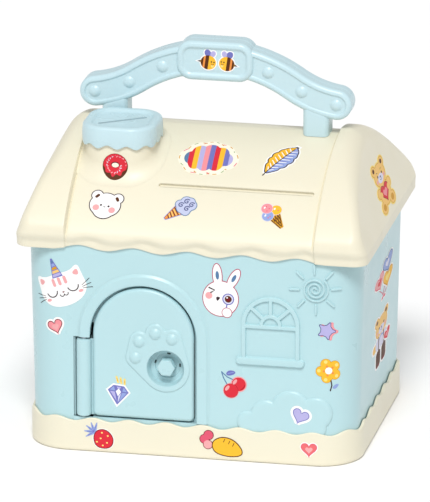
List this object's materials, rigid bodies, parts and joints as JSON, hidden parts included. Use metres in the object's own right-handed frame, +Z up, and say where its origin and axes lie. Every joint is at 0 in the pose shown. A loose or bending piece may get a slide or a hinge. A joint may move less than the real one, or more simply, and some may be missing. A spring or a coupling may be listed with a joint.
{
  "type": "coin bank",
  "caption": "House-shaped toy coin bank with a locking arched front door, coin and banknote slots, scalloped roof and a fixed carry handle.",
  "frame": {"origin": "centre of the footprint on the table, at the bottom of the base tray", "axes": "+X to the right of someone facing the door, -Y the door side, +Z up"},
  "size_m": [0.189, 0.1528, 0.2107],
  "materials": {
    "blue_plastic": "satin injection-moulded pale blue",
    "cream_plastic": "satin injection-moulded cream",
    "screw_steel": "zinc-plated screws, washer and pin",
    "cam_steel": "stamped sheet steel",
    "sticker_vinyl": "printed vinyl stickers"
  },
  "bodies": {
    "root": {"base_tray": "cream_plastic", "base_screws": "screw_steel", "house_body": "blue_plastic", "roof_shell": "cream_plastic", "roof_screws": "screw_steel", "chimney_cap": "blue_plastic", "handle_front": "blue_plastic", "handle_back": "blue_plastic", "handle_screws": "screw_steel", "handle_post_screws": "screw_steel", "door_hinge_pin": "screw_steel", "stickers_front_wall": "sticker_vinyl", "stickers_side_wall": "sticker_vinyl", "stickers_roof_front": "sticker_vinyl", "stickers_roof_end": "sticker_vinyl", "sticker_chimney": "sticker_vinyl", "stickers_base": "sticker_vinyl", "stickers_handle": "sticker_vinyl"},
    "door": {"door_panel": "blue_plastic", "door_lining": "blue_plastic", "door_lining_screws": "screw_steel", "stickers_door": "sticker_vinyl"},
    "lock": {"lock_spindle": "blue_plastic", "lock_washer": "screw_steel", "lock_cam": "cam_steel", "lock_screw": "screw_steel"}
  },
  "joints": [
    {"name": "door_hinge", "type": "hinge", "parent": "root", "child": "door", "pos_m": [-0.0575, -0.071, 0.0415], "axis": [0, 0, -1], "range_deg": [0, 120]},
    {"name": "lock_turn", "type": "hinge", "parent": "door", "child": "lock", "pos_m": [-0.013, -0.066, 0.049], "axis": [0, 1, 0], "range_deg": [0, 90]}
  ]
}
